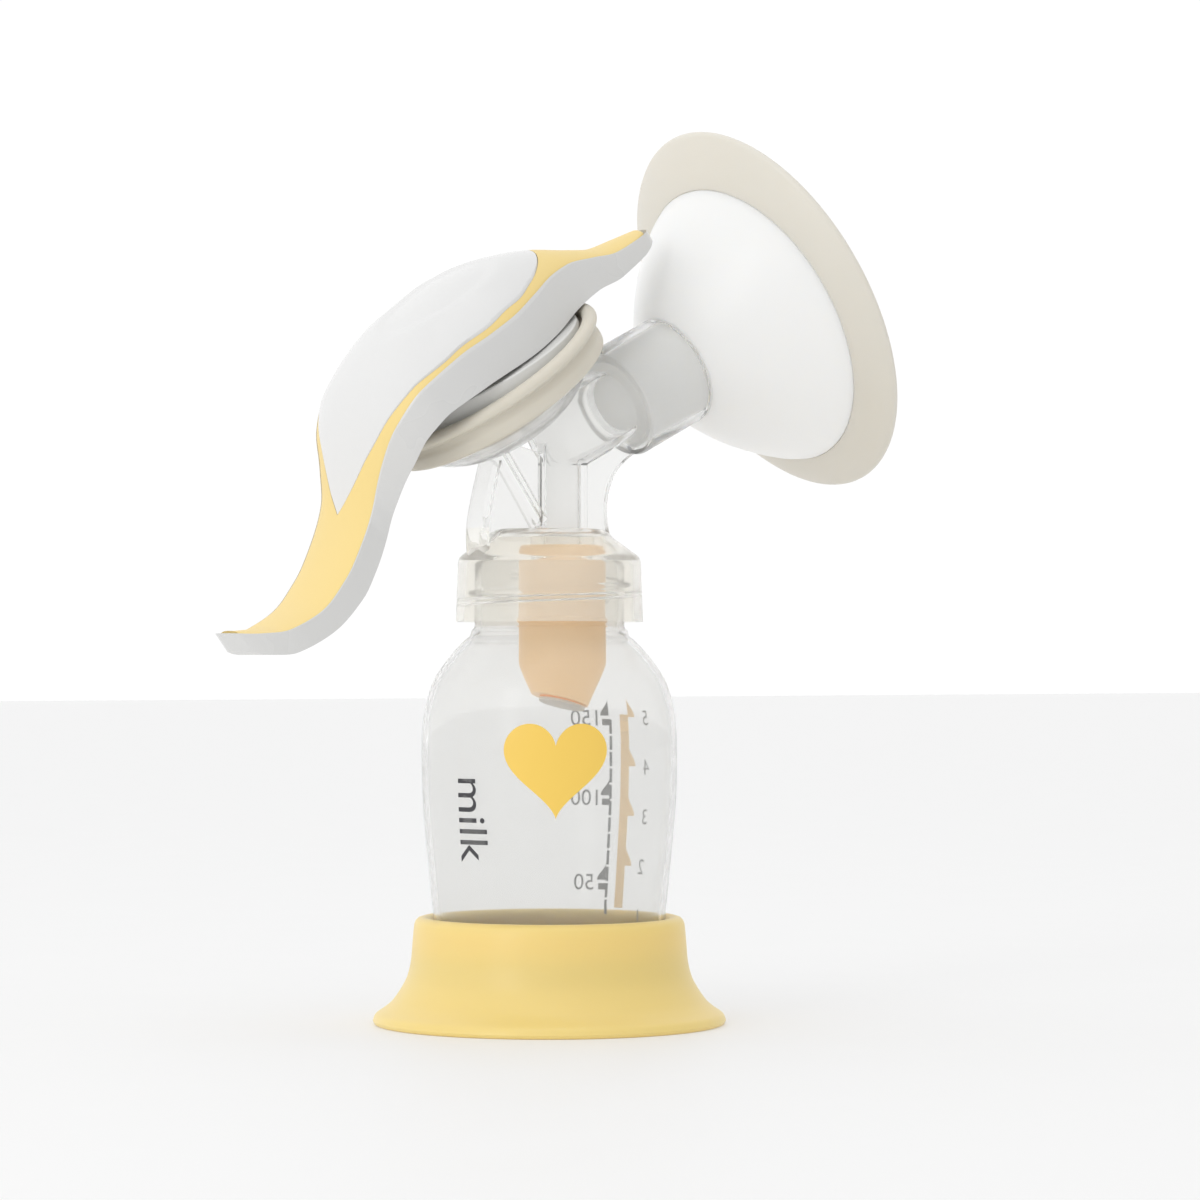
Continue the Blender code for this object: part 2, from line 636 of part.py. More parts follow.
def cone_points(inset):
    """The bell between the tube and the soft rim, moved inwards by inset."""
    reach = CONE_EDGE_RADIUS - SOCKET_RADIUS
    return [
        (SOCKET_RADIUS + reach * share - inset * 0.75, cone_start + CONE_LENGTH * height + inset * 0.66)
        for share, height in ((0.0, 0.0), (0.27, 0.19), (0.54, 0.43), (0.77, 0.68), (0.92, 0.88),
                              (1.0, 1.0))
    ]


def shield_cone(material):
    tube_end = SOCKET_BACK + CHAMBER_WALL + 0.8
    throat = tube_radius - SHIELD_WALL
    inside = cone_points(SHIELD_WALL)[::-1]
    outline = [
        (throat, tube_end), (tube_radius - 0.3, tube_end), (tube_radius, tube_end + 1.0),
        (tube_radius, cone_start), *cone_points(0), *inside[:-1], (throat + 0.8, cone_start + 1.6),
        (throat, cone_start),
    ]
    return as_object("shield_cone", turned(outline), shield_place, material)


def shield_soft_rim(material):
    """An oval rim: it starts round at the cone's edge and is oval at its own edge."""
    start = cone_start + CONE_LENGTH
    reach = rim_radius - CONE_EDGE_RADIUS
    outer = [(CONE_EDGE_RADIUS + 0.2 + reach * share, start + 0.35 + RIM_REACH * height)
             for share, height in ((0.0, 0.0), (0.38, 0.32), (0.72, 0.66), (0.96, 0.94))]
    tip = [(rim_radius, start + RIM_REACH + 0.9), (rim_radius - 0.8, start + RIM_REACH + 1.5)]
    inner = [(radius - 1.0, height + 1.5) for radius, height in reversed(outer[1:-1])]
    outline = outer + tip + inner + [(CONE_EDGE_RADIUS - 1.0, start + 1.55)]
    shape = turned(outline)
    for point in shape.verts:
        radius = math.hypot(point.co.x, point.co.y)
        share = max((radius - CONE_EDGE_RADIUS) / reach, 0)
        long_way = 1 + share * (RIM_LONG_RADIUS / rim_radius - 1)
        short_way = 1 + share * (RIM_SHORT_RADIUS / rim_radius - 1)
        point.co.x *= long_way
        point.co.y *= short_way
    place = shield_place @ Matrix.Rotation(RIM_ROLL, 4, "Z")
    return as_object("shield_soft_rim", shape, place, material)


def build():
    clear_scene()
    yellow = plastic("yellow_plastic", (0.93, 0.69, 0.27), 0.4)
    soft_yellow = plastic("yellow_soft_grip", (0.93, 0.69, 0.27), 0.55)
    white = plastic("white_plastic", (0.85, 0.86, 0.87), 0.3)
    grey = plastic("hub_plastic", (0.62, 0.62, 0.63), 0.45)
    clear = plastic("clear_plastic", (0.82, 0.84, 0.84), 0.1)
    milky = plastic("milky_plastic", (0.80, 0.83, 0.84), 0.3)
    silicone = plastic("ivory_silicone", (0.76, 0.72, 0.64), 0.5)
    bottle_stand(yellow)
    bottle(clear)
    connector_body(clear)
    _, slant = valve_head(yellow)
    valve_membrane(silicone, slant)
    diaphragm_rim(silicone)
    diaphragm_membrane(silicone)
    diaphragm_stem(white)
    stem_o_ring(silicone)
    handle_shell(white)
    handle_soft_grip(soft_yellow)
    handle_top_panel(white)
    handle_hub(grey)
    shield_cone(milky)
    shield_soft_rim(silicone)


build()
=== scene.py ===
"""The finished look of a hand-lever breast pump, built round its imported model.

Shapes are worked out in millimetres, in the row's frame: +Z up, the shield towards +X, the stand's
foot on Z = 0. Each piece becomes metres when it is made, with its place in its mesh.
"""

import json
import math

import bmesh
import bpy
from mathutils import Matrix, Vector


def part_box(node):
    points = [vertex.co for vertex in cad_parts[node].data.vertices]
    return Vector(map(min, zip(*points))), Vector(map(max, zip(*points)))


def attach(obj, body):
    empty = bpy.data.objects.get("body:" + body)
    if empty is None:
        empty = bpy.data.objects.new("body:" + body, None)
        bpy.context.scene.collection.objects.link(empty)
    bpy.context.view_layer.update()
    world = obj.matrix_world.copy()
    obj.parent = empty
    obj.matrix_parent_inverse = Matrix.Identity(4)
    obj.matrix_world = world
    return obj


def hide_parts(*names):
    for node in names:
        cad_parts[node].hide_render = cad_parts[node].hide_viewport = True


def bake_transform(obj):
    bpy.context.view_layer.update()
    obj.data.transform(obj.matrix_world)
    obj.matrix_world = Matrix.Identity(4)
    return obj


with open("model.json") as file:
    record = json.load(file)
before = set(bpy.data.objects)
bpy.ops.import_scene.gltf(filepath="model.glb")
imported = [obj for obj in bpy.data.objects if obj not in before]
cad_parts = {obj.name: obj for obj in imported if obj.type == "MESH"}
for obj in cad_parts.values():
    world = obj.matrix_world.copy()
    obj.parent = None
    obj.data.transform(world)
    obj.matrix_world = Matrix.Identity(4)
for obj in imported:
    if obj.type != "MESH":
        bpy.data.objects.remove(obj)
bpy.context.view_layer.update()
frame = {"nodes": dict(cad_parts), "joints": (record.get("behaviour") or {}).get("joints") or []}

MM = 0.001
ROUND = 128
SMALL_ROUND = 64

joints = {joint["name"]: joint for joint in frame["joints"]}
bottle_low, bottle_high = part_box("bottle")
bottle_base = bottle_low.z / MM
mouth = bottle_high.z / MM
seat_point = Vector(joints["handle_swivel"]["pos_m"]) / MM
seat_axis = Vector(joints["handle_swivel"]["axis"])
shield_axis = Vector(joints["shield_pull"]["axis"])
seat_tilt = math.atan2(-seat_axis.x, seat_axis.z)
shield_slope = math.atan2(shield_axis.z, shield_axis.x)
SHIELD_POINT = (28.2, 42.1)
DUCT_OFFSET = 3.6
NECK_RADIUS = 17.4
THREAD_PITCH = 4.2
THREAD_DEPTH = 1.5
COLLAR_TOP = 7.3

upright = Matrix.Identity(4)
bottle_place = Matrix.Translation((0, 0, bottle_base))
mouth_place = Matrix.Translation((0, 0, mouth))
duct_place = Matrix.Translation((DUCT_OFFSET, 0, mouth))
seat_place = Matrix.Translation(seat_point) @ Matrix.Rotation(-seat_tilt, 4, "Y")
shield_place = Matrix.Translation((SHIELD_POINT[0], 0, mouth + SHIELD_POINT[1]))
shield_place = shield_place @ Matrix.Rotation(math.radians(90) - shield_slope, 4, "Y")


# Finishes.

def finish(name, color, roughness, grain=0.0, grain_size=1.0, **sockets):
    """A moulded finish: its colour drifts a little, and a fine grain breaks up its gloss."""
    material = bpy.data.materials.new(name)
    material.use_nodes = True
    tree = material.node_tree
    shader = tree.nodes["Principled BSDF"]
    shader.inputs["Base Color"].default_value = (*color, 1)
    shader.inputs["Roughness"].default_value = roughness
    shader.inputs["Subsurface Radius"].default_value = (1.0, 0.92, 0.8)
    for socket, value in sockets.items():
        shader.inputs[socket.replace("_", " ")].default_value = value
    where = tree.nodes.new("ShaderNodeTexCoord")
    drift = tree.nodes.new("ShaderNodeTexNoise")
    drift.inputs["Scale"].default_value = 35
    drift.inputs["Detail"].default_value = 3
    tree.links.new(where.outputs["Object"], drift.inputs["Vector"])
    tone = tree.nodes.new("ShaderNodeMix")
    tone.data_type = "RGBA"
    tone.inputs["A"].default_value = (*[channel * 0.985 for channel in color], 1)
    tone.inputs["B"].default_value = (*[min(channel * 1.015, 1) for channel in color], 1)
    tree.links.new(drift.outputs["Fac"], tone.inputs["Factor"])
    tree.links.new(tone.outputs["Result"], shader.inputs["Base Color"])
    gloss = tree.nodes.new("ShaderNodeMapRange")
    gloss.inputs["To Min"].default_value = roughness * 0.85
    gloss.inputs["To Max"].default_value = roughness * 1.15
    tree.links.new(drift.outputs["Fac"], gloss.inputs["Value"])
    tree.links.new(gloss.outputs["Result"], shader.inputs["Roughness"])
    if grain:
        texture = tree.nodes.new("ShaderNodeTexNoise")
        texture.inputs["Scale"].default_value = 1 / (grain_size * MM)
        texture.inputs["Detail"].default_value = 2
        tree.links.new(where.outputs["Object"], texture.inputs["Vector"])
        bump = tree.nodes.new("ShaderNodeBump")
        bump.inputs["Strength"].default_value = grain
        bump.inputs["Distance"].default_value = 0.05 * MM
        tree.links.new(texture.outputs["Fac"], bump.inputs["Height"])
        tree.links.new(bump.outputs["Normal"], shader.inputs["Normal"])
    return material


stand_yellow = finish("stand_yellow", (0.93, 0.685, 0.245), 0.36, 0.15, 0.6,
                      Subsurface_Weight=0.35, Subsurface_Scale=0.006)
grip_yellow = finish("grip_yellow", (0.90, 0.69, 0.27), 0.5, 0.35, 0.35, Sheen_Weight=0.05)
# Painted light: a faint orange glow brightens the valve seen through the bottle, where it would
# sit in shade.
valve_yellow_painted_glow = finish("valve_yellow_painted_glow", (1.0, 0.70, 0.38), 0.35, 0.1, 0.5,
                      Emission_Color=(1.0, 0.58, 0.25, 1), Emission_Strength=0.16)
handle_white = finish("handle_white", (0.70, 0.70, 0.69), 0.28, 0.12, 0.5, Coat_Weight=0.1)
panel_white = finish("panel_white", (0.77, 0.77, 0.765), 0.22, 0.08, 0.6, Coat_Weight=0.15)
hub_grey = finish("hub_grey", (0.74, 0.74, 0.72), 0.42, 0.15, 0.5)
stem_white = finish("stem_white", (0.80, 0.80, 0.80), 0.35, 0.1, 0.5)
silicone = finish("ivory_silicone", (0.70, 0.66, 0.57), 0.45, 0.2, 0.4, Subsurface_Weight=0.3,
                  Subsurface_Scale=0.003)
rim_silicone = finish("rim_silicone", (0.74, 0.71, 0.64), 0.42, 0.2, 0.4, Subsurface_Weight=0.3,
                      Subsurface_Scale=0.003)
clear_plastic = finish("clear_plastic", (0.985, 0.985, 0.975), 0.12, 0.04, 1.5,
                       Transmission_Weight=0.86, IOR=1.14)
# Painted light: a faint glow lightens the collar and its shaded insides.
collar_milk_painted_glow = finish("collar_milk_painted_glow", (1.0, 0.985, 0.95), 0.1, 0.04, 1.5,
                     Transmission_Weight=0.82, IOR=1.2, Emission_Color=(1, 0.97, 0.9, 1),
                     Emission_Strength=0.03)
bottle_clear = finish("bottle_clear", (0.965, 0.967, 0.96), 0.05, 0.03, 2.5,
                      Transmission_Weight=0.9, IOR=1.2)
# Painted light: a faint white glow lightens the shield's bell and the shade inside its tube.
cone_milky_painted_glow = finish("cone_milky_painted_glow", (0.74, 0.745, 0.74), 0.3, 0.1, 1.0, Subsurface_Weight=0.8,
                    Subsurface_Scale=0.006, IOR=1.4, Emission_Color=(1, 1, 1, 1),
                    Emission_Strength=0.08)
ink_grey = finish("ink_grey", (0.33, 0.34, 0.35), 0.5)
ink_dark = finish("ink_dark", (0.045, 0.045, 0.05), 0.45)
ink_pale = finish("ink_pale", (0.50, 0.50, 0.50), 0.5)
# The orange scale is real print; its glow is painted light that brightens it.
ink_orange_painted_glow = finish("ink_orange_painted_glow", (1.0, 0.74, 0.42), 0.5,
                    Emission_Color=(1.0, 0.75, 0.45, 1), Emission_Strength=0.3)
ink_yellow = finish("ink_yellow", (0.95, 0.64, 0.12), 0.4)


# Tools that shape meshes.

def flowing(points, spans=8):
    """A smooth outline through the points."""
    line = []
    ends = [points[0], *points, points[-1]]
    for k in range(1, len(ends) - 2):
        before, here, following, after = ends[k - 1:k + 3]
        for step in range(spans):
            t = step / spans
            line.append(tuple(
                0.5 * (2 * b + (c - a) * t + (2 * a - 5 * b + 4 * c - d) * t * t
                       + (3 * b - a - 3 * c + d) * t ** 3)
                for a, b, c, d in zip(before, here, following, after)
            ))
    line.append(points[-1])
    return line


def inward(line, depth):
    """The outline moved to its left by depth, which is inwards for one that runs up outside."""
    moved_line = []
    for k, (radius, height) in enumerate(line):
        ahead = line[min(k + 1, len(line) - 1)]
        behind = line[max(k - 1, 0)]
        across, up = ahead[0] - behind[0], ahead[1] - behind[1]
        length = math.hypot(across, up) or 1
        moved_line.append((max(radius - depth * up / length, 0), height + depth * across / length))
    return moved_line


def curve_through(stations):
    """A smooth value along the stations, with no overshoot between two of them."""
    places = [place for place, _ in stations]
    values = [value for _, value in stations]
    steps = [b - a for a, b in zip(places, places[1:])]
    slopes = [(b - a) / step for a, b, step in zip(values, values[1:], steps)]
    tangents = [slopes[0]]
    for before, after in zip(slopes, slopes[1:]):
        level = before * after <= 0
        tangents.append(0.0 if level else 2 * before * after / (before + after))
    tangents.append(slopes[-1])

    def value_at(place):
        place = min(max(place, places[0]), places[-1])
        k = max(i for i in range(len(steps)) if places[i] <= place)
        step = steps[k]
        t = (place - places[k]) / step
        return (
            (1 + 2 * t) * (1 - t) ** 2 * values[k] + t * (1 - t) ** 2 * step * tangents[k]
            + t * t * (3 - 2 * t) * values[k + 1] - t * t * (1 - t) * step * tangents[k + 1]
        )

    return value_at


def turned(outline, steps=ROUND, closed=False):
    """The outline (radius, height) spun round Z."""
    shape = bmesh.new()
    points = [shape.verts.new((radius, 0, height)) for radius, height in outline]
    pairs = list(zip(points, points[1:]))
    if closed:
        pairs.append((points[-1], points[0]))
    edges = [shape.edges.new(pair) for pair in pairs]
    bmesh.ops.spin(
        shape, geom=points + edges, axis=(0, 0, 1), cent=(0, 0, 0),
        angle=math.tau, steps=steps, use_merge=True,
    )
    return cleaned(shape)


def cleaned(shape):
    """The shape with its doubles and slivers gone and its faces pointing outwards."""
    bmesh.ops.remove_doubles(shape, verts=shape.verts, dist=0.0008)
    bmesh.ops.dissolve_degenerate(shape, edges=shape.edges, dist=0.0005)
    bmesh.ops.recalc_face_normals(shape, faces=shape.faces)
    return shape


def rod(radius, bottom, top, steps=SMALL_ROUND):
    """An upright cylinder from bottom to top."""
    shape = bmesh.new()
    bmesh.ops.create_cone(shape, cap_ends=True, segments=steps, radius1=radius, radius2=radius,
                          depth=top - bottom)
    bmesh.ops.translate(shape, vec=(0, 0, (top + bottom) / 2), verts=shape.verts)
    return shape


def slab(outline, thickness, rounding=0.0):
    """A plate in the XZ plane, centred on Y = 0."""
    shape = bmesh.new()
    face = shape.faces.new([shape.verts.new((x, -thickness / 2, z)) for x, z in outline])
    grown = bmesh.ops.extrude_face_region(shape, geom=[face])["geom"]
    raised = [item for item in grown if isinstance(item, bmesh.types.BMVert)]
    bmesh.ops.translate(shape, vec=(0, thickness, 0), verts=raised)
    bmesh.ops.recalc_face_normals(shape, faces=shape.faces)
    if rounding:
        bmesh.ops.bevel(shape, geom=list(shape.edges), offset=rounding, segments=3,
                        profile=0.5, affect="EDGES", material=-1)
    return shape


def soften(shape, width, sharpest=30, segments=3):
    """Rounds every edge that turns by more than the angle."""
    limit = math.radians(sharpest)
    edges = [edge for edge in shape.edges if edge.calc_face_angle(0) > limit]
    bmesh.ops.bevel(shape, geom=edges, offset=width, segments=segments, profile=0.5,
                    affect="EDGES", material=-1, clamp_overlap=True)
    return shape


def lattice(columns, rows, place_point):
    """A grid whose points go where place_point(u, v) says, u and v running from 0 to 1."""
    shape = bmesh.new()
    bmesh.ops.create_grid(shape, x_segments=columns, y_segments=rows, size=1)
    for point in shape.verts:
        point.co = place_point((point.co.x + 1) / 2, (point.co.y + 1) / 2)
    return shape


def thickened(shape, lower_point):
    """Closes a lattice into a solid: its copy goes where lower_point(point) says."""
    grown = bmesh.ops.extrude_face_region(shape, geom=list(shape.faces))["geom"]
    for point in grown:
        if isinstance(point, bmesh.types.BMVert):
            point.co = lower_point(point.co.copy())
    return cleaned(shape)


def helix_ridge(wall_radius, outward, turns, start, pitch, depth):
    """A thread ridge: a small section spun and raised, whose ends sink into the wall."""
    shape = bmesh.new()
    section = [(-0.6, -0.95), (depth - 0.35, -0.55), (depth, -0.25), (depth, 0.25),
               (depth - 0.35, 0.55), (-0.6, 0.95)]
    points = [shape.verts.new((wall_radius + outward * out, 0, start + up)) for out, up in section]
    face = shape.faces.new(points)
    steps = round(96 * turns)
    bmesh.ops.spin(shape, geom=[face], axis=(0, 0, 1), cent=(0, 0, 0), angle=math.tau * turns,
                   steps=steps, dvec=(0, 0, pitch * turns / steps))
    fade = 14
    sunk = 0.05
    for point in shape.verts:
        rise = (point.co.z - start) / (pitch * turns)
        step = rise * steps
        share = max(0.0, min(step, steps - step) / fade)
        if share < 1:
            radius = math.hypot(point.co.x, point.co.y)
            out = (radius - wall_radius) * outward
            if out > 0:
                wanted = wall_radius + outward * (out * math.sin(share * math.pi / 2) - sunk)
                point.co.x *= wanted / radius
                point.co.y *= wanted / radius
    return cleaned(shape)


def as_mesh(name, shape, place):
    """The shape as a mesh in metres, set in its place."""
    bmesh.ops.transform(shape, matrix=Matrix.Scale(MM, 4) @ place, verts=shape.verts)
    bmesh.ops.recalc_face_normals(shape, faces=shape.faces)
    mesh = bpy.data.meshes.new(name)
    shape.to_mesh(mesh)
    shape.free()
    return mesh


def carved(name, base, steps):
    """One solid from a base and Boolean steps (operation, shape, place), worked out at once."""
    made = bpy.data.objects.new(name, as_mesh(name, *base))
    bpy.context.scene.collection.objects.link(made)
    tools = []
    for operation, shape, place in steps:
        tool = bpy.data.objects.new(name + "_tool", as_mesh(name + "_tool", shape, place))
        bpy.context.scene.collection.objects.link(tool)
        tools.append(tool)
        modifier = made.modifiers.new(tool.name, "BOOLEAN")
        modifier.operation = operation
        modifier.solver = "EXACT"
        modifier.object = tool
    result = bpy.data.meshes.new_from_object(
        made.evaluated_get(bpy.context.evaluated_depsgraph_get()))
    for used in [made, *tools]:
        bpy.data.objects.remove(used, do_unlink=True)
    return result


def piece(name, mesh, material, body, slot="", *replaced, sharp=32):
    """A finished piece. It rides on its body, unless that is left empty."""
    mesh.name = name
    mesh.materials.clear()
    mesh.materials.append(material)
    mesh.shade_smooth()
    mesh.set_sharp_from_angle(angle=math.radians(sharp))
    made = bpy.data.objects.new(name, mesh)
    bpy.context.scene.collection.objects.link(made)
    if body:
        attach(made, body)
    if replaced:
        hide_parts(*replaced)
    return made


# Stand and bottle.

def make_stand():
    outer = flowing([
        (31.6, 21.5), (31.9, 17.9), (32.2, 14.6), (33.0, 11.2), (34.4, 8.4), (36.4, 5.5),
        (38.3, 3.8), (40.2, 2.5), (40.8, 1.6),
    ], 6)
    inside = flowing([
        (38.2, 1.5), (36.6, 2.6), (34.8, 4.4), (33.0, 7.0), (31.6, 10.4), (30.8, 14.0),
        (30.0, 16.5), (29.2, 14.0), (29.0, 7.2),
    ], 6)
    outline = [
        (0, 8.7), (25.4, 8.7), (26.7, 9.1), (27.3, 10.2), (27.3, 22.6), (27.5, 23.6), (28.1, 24.4),
        (28.9, 24.8), (29.7, 24.85), (30.5, 24.6), (31.1, 24.0), (31.4, 23.2), *outer,
        (41.0, 0.9), (40.7, 0.25), (40.1, 0.0), (39.2, 0.0), (38.7, 0.5), *inside,
        (28.4, 6.7), (0, 6.7),
    ]
    mesh = as_mesh("stand", turned(outline, 160), upright)
    piece("stand", mesh, stand_yellow, "stand", "yellow_plastic", "bottle_stand")


bottle_side = [
    (26.95, 5.2), (27.0, 10.0), (27.0, 16.0), (27.6, 22.0), (28.5, 31.5), (29.4, 41.7),
    (29.68, 50.0), (29.7, 56.0), (29.4, 61.0), (28.5, 66.2), (26.8, 71.0), (24.1, 75.1),
    (21.4, 78.4), (19.6, 80.2),
]
bottle_radius = curve_through([(height, radius) for radius, height in bottle_side])


def make_bottle():
    wall = 1.4
    neck = NECK_RADIUS
    heel = flowing([(19.2, 0.6), (21.2, 0.0), (23.4, 0.1), (25.4, 1.0), (26.5, 2.8)], 5)
    outer = [(0, 1.6), (14, 1.5), *heel, *flowing(bottle_side, 8)]
    inner = inward(outer, wall)
    inner[0] = (0, 1.6 + wall)
    finish_line = [
        (18.6, 80.9), (18.3, 81.6), (18.2, 82.3), (17.6, 82.8), (neck, 83.4), (neck, 97.7),
        (neck - 0.25, 98.35), (neck - 0.8, 98.55), (neck - wall + 0.2, 98.4), (neck - wall, 98.0),
        (neck - wall, 82.5),
    ]
    outline = outer + finish_line + inner[::-1]
    ridge = helix_ridge(neck, 1, 1.25, -9.6, THREAD_PITCH, THREAD_DEPTH)
    mesh = carved("bottle", (turned(outline, 240), bottle_place), [("UNION", ridge, mouth_place)])
    piece("bottle_shell", mesh, bottle_clear, "bottle", "clear_plastic", "bottle", sharp=50)


# Connector.

def collar_outline(inset):
    skirt = -14.3 - (1 if inset else 0)
    top = 7.2 - inset
    side = 21.3 - inset
    lowest = 21.8 - inset
    crown = 13.2 - inset * 0.6
    return [
        (0, skirt), (lowest, skirt), (side, -0.6 - inset * 0.4), (side - 0.3, 0.5 - inset * 0.5),
        (side - 1.0, 1.3 - inset * 0.6), (crown + 1.8 - inset * 0.2, top - 2.1),
        (crown + 0.6, top - 0.8), (crown - 0.6, top - 0.15), (crown - 1.6, top), (0, top),
    ]


def seat_outline(inset):
    top = 4.6 + (1 if inset else 0)
    dish = flowing([
        (0, -9.4), (9.0, -8.9), (16.0, -6.6), (20.6, -3.6), (23.6, -0.9), (25.1, 0.6),
    ], 6)
    line = inward(dish, inset) if inset else dish
    line[0] = (0, line[0][1])
    return line + [(25.4 - inset, 1.6 + inset * 0.4), (25.4 - inset, top), (0, top)]


def make_connector():
    chamber, chamber_bore = 9.0, 7.5
    socket, bore = 13.4, 11.9
    end, back, open_end = -33.3, -12.3, 7.5
    body_line = [
        (0, end), (5.6, end), (7.2, end + 0.5), (8.4, end + 1.6), (chamber, end + 3.2),
        (chamber, back - 1.8), (chamber + 0.5, back - 0.7), (chamber + 1.4, back - 0.1),
        (socket - 1.6, back + 0.2), (socket - 0.5, back + 0.7), (socket, back + 1.8),
        (socket, open_end - 0.5), (socket - 0.4, open_end), (0, open_end),
    ]
    bore_line = [
        (0, end + 1.5), (4.8, end + 1.5), (6.4, end + 2.1), (chamber_bore, end + 3.8),
        (chamber_bore, back + 1.5), (bore - 0.6, back + 1.7), (bore, back + 2.5),
        (bore, open_end + 1), (0, open_end + 1),
    ]
    leg = lattice(24, 24, leg_point)
    bmesh.ops.remove_doubles(leg, verts=leg.verts, dist=0.001)
    bmesh.ops.holes_fill(leg, edges=[edge for edge in leg.edges if edge.is_boundary])
    duct = rod(5.9, 6.2, 27.0)
    web = slab(((-18.4, 2.0), (-2.0, 6.4), (-1.6, 24.6), (-9.0, 26.4), (-15.2, 24.4),
                (-17.0, 17.0)), 1.6)
    rib = slab(((-15.2, 23.8), (-12.2, 24.8), (-1.8, 9.6), (-3.8, 6.4)), 4.2, 0.3)
    curve = flowing([(16.9, 4.2), (15.9, 7.6), (15.5, 12.0), (16.1, 16.6), (17.9, 20.6),
                     (20.9, 23.8), (25.2, 26.7)], 6)
    fin = slab([(7.0, 5.6), *curve, (22.0, 31.0), (7.2, 31.2)], 1.8)
    nozzle = rod(7.5, -8.0, 6.3)
    duct_bore = rod(3.8, -9.0, 28.0)
    ridge = helix_ridge(19.5, -1, 1.0, -11.7, THREAD_PITCH, THREAD_DEPTH)
    steps = [
        ("UNION", duct, duct_place), ("UNION", leg, mouth_place), ("UNION", web, mouth_place),
        ("UNION", rib, mouth_place), ("UNION", fin, mouth_place),
        ("UNION", turned(seat_outline(0)), seat_place),
        ("UNION", turned(body_line, 96), shield_place),
        ("DIFFERENCE", turned(collar_outline(1.8)), mouth_place),
        ("DIFFERENCE", turned(seat_outline(1.7)), seat_place),
        ("DIFFERENCE", turned(bore_line, 96), shield_place),
        ("UNION", nozzle, duct_place), ("UNION", ridge, mouth_place),
        ("DIFFERENCE", duct_bore, duct_place),
    ]
    mesh = carved("connector", (turned(collar_outline(0)), mouth_place), steps)
    piece("connector", mesh, clear_plastic, "connector", "clear_plastic", "connector_body",
          sharp=28)
    mesh.materials.append(collar_milk_painted_glow)
    for face in mesh.polygons:
        if face.center.z < (mouth + COLLAR_TOP) * MM:
            face.material_index = 1


leg_line = flowing([(-18.7, -1.4), (-19.5, 2.0), (-19.5, 8.0), (-18.4, 14.0), (-17.0, 19.5),
                    (-15.6, 24.8)], 6)


def leg_point(u, v):
    """A point round the leg's oval section, u along it and v round it."""
    place = u * (len(leg_line) - 1)
    k = min(int(place), len(leg_line) - 2)
    share = place - k
    x, z = [a + (b - a) * share for a, b in zip(leg_line[k], leg_line[k + 1])]
    angle = math.tau * v
    flat = 0.55
    across, along = math.cos(angle), math.sin(angle)
    return Vector((
        x + 1.6 * math.copysign(abs(across) ** flat, across),
        3.6 * math.copysign(abs(along) ** flat, along), z,
    ))


# Valve.

def make_valve():
    top, bottom, tip = 2.9, -24.3, -34.5
    outline = [
        (0, tip), (5.6, tip), (5.9, tip + 0.4), (10.0, bottom - 0.5), (10.2, bottom + 0.5),
        (10.2, -16.2), (10.6, -15.8), (10.6, -15.2), (10.2, -14.8), (10.2, -14.2), (10.6, -13.8),
        (10.6, -13.2), (10.2, -12.8), (10.2, top - 0.6), (9.7, top), (7.8, top),
        (7.8, -8.3), (8.8, -9.3), (8.8, bottom + 0.4), (4.4, tip + 1.0), (0, tip + 1.0),
    ]
    slant = duct_place @ Matrix.Translation((0, 0, tip + 1.8))
    slant = slant @ Matrix.Rotation(math.radians(15.7), 4, "Y")
    cutter = bmesh.new()
    bmesh.ops.create_cube(cutter, size=40)
    bmesh.ops.translate(cutter, vec=(0, 0, -20), verts=cutter.verts)
    mesh = carved("valve", (turned(outline, 96), duct_place), [("DIFFERENCE", cutter, slant)])
    piece("valve_body", mesh, valve_yellow_painted_glow, "connector", "yellow_plastic", "valve_head")
    flap = soften(rod(5.5, -1.1, -0.3, 48), 0.2)
    flap_mesh = as_mesh("flap", flap, slant)
    piece("valve_flap", flap_mesh, rim_silicone, "valve_flap", "ivory_silicone", "valve_membrane")


# Diaphragm.

def make_diaphragm_rim():
    outer = flowing([
        (27.2, 0.0), (27.9, 0.5), (28.15, 1.6), (28.1, 3.0), (27.6, 4.2), (27.5, 5.0),
        (28.2, 5.5), (29.3, 6.0), (29.7, 6.8), (29.4, 7.7), (28.5, 8.35), (27.4, 8.4),
        (26.6, 8.0), (26.2, 7.2), (25.9, 6.2),
    ], 5)
    outline = [(25.7, 0.2), (26.1, 0.0), *outer, (23.2, 6.0), (23.0, 5.8), (23.0, 5.1),
               (23.2, 4.9), (25.7, 4.9)]
    mesh = as_mesh("rim", turned(outline, 160, closed=True), seat_place)
    piece("diaphragm_lip", mesh, silicone, "connector", "ivory_silicone", "diaphragm_rim")


def make_membrane():
    """The rolling cup, on no body, with its place baked into its mesh."""
    under = flowing([(7.5, -2.9), (10.0, -4.6), (14.3, -4.0), (19.5, -0.5), (22.2, 3.0),
                     (22.7, 5.9)], 8)
    over = flowing([(21.7, 5.9), (21.2, 3.4), (18.6, 0.5), (13.8, -2.8), (10.2, -3.6),
                    (7.5, -1.5)], 8)
    outline = [(4.4, -2.9), *under, *over, (4.4, -1.5)]
    mesh = as_mesh("membrane", turned(outline, 128, closed=True), seat_place)
    made = piece("diaphragm_cup", mesh, silicone, "", "ivory_silicone", "diaphragm_membrane")
    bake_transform(made)


# Handle.

